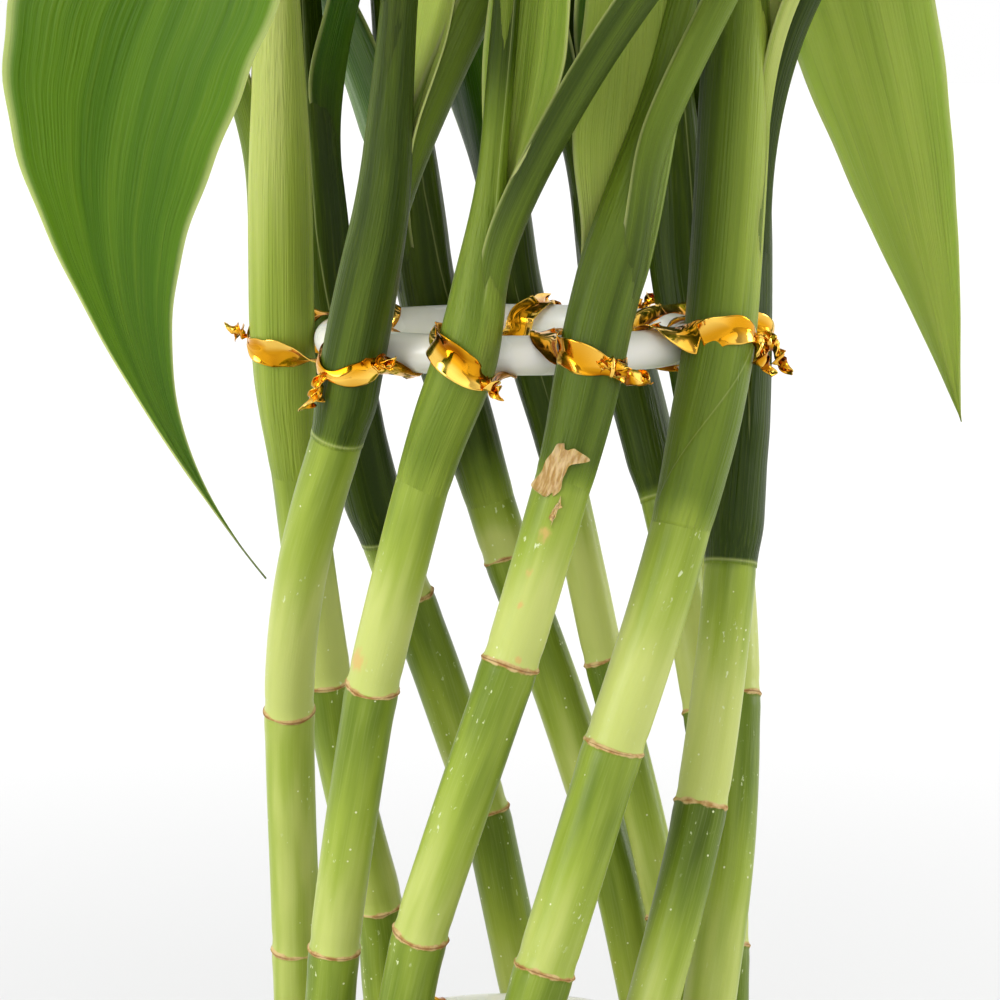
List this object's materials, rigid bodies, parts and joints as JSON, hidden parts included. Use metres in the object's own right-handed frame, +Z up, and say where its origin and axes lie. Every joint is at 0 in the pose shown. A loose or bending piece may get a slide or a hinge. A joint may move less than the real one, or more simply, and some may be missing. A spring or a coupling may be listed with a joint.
{
  "type": "lucky bamboo",
  "caption": "Lucky bamboo: bare canes leaning round plastic rings as a twisted cage, gold foil ties, leafy shoots on top, standing in a pebble-filled bowl.",
  "frame": {"origin": "centre of the flat foot under the bowl, on the surface it stands on", "axes": "+Z up along the axis of the cage; -Y is the front that the picture shows, +X its right"},
  "size_m": [0.3252, 0.3313, 0.4689],
  "materials": {
    "cane": "smooth waxy green stem, satin",
    "leaf": "waxy green leaf with fine parallel veins, satin",
    "ring_plastic": "white translucent polyethylene tube, satin",
    "gold_foil": "crinkled gold metallised film, glossy",
    "bowl_glaze": "plain pale celadon glaze, glossy",
    "pebble": "tumbled river pebbles, matt"
  },
  "bodies": {
    "root": {"bowl": "bowl_glaze", "pebble_bed": "pebble", "lower_ring": "ring_plastic", "upper_ring": "ring_plastic", "cane_01": "cane", "shoot_01": "leaf", "lower_tie_01": "gold_foil", "upper_tie_01": "gold_foil", "cane_02": "cane", "shoot_02": "leaf", "lower_tie_02": "gold_foil", "upper_tie_02": "gold_foil", "cane_03": "cane", "shoot_03": "leaf", "lower_tie_03": "gold_foil", "upper_tie_03": "gold_foil", "cane_04": "cane", "shoot_04": "leaf", "lower_tie_04": "gold_foil", "upper_tie_04": "gold_foil", "cane_05": "cane", "shoot_05": "leaf", "lower_tie_05": "gold_foil", "upper_tie_05": "gold_foil", "cane_06": "cane", "shoot_06": "leaf", "lower_tie_06": "gold_foil", "upper_tie_06": "gold_foil", "cane_07": "cane", "shoot_07": "leaf", "lower_tie_07": "gold_foil", "upper_tie_07": "gold_foil", "cane_08": "cane", "shoot_08": "leaf", "lower_tie_08": "gold_foil", "upper_tie_08": "gold_foil", "cane_09": "cane", "shoot_09": "leaf", "lower_tie_09": "gold_foil", "upper_tie_09": "gold_foil", "cane_10": "cane", "shoot_10": "leaf", "lower_tie_10": "gold_foil", "upper_tie_10": "gold_foil", "cane_11": "cane", "shoot_11": "leaf", "lower_tie_11": "gold_foil", "upper_tie_11": "gold_foil"}
  },
  "joints": []
}
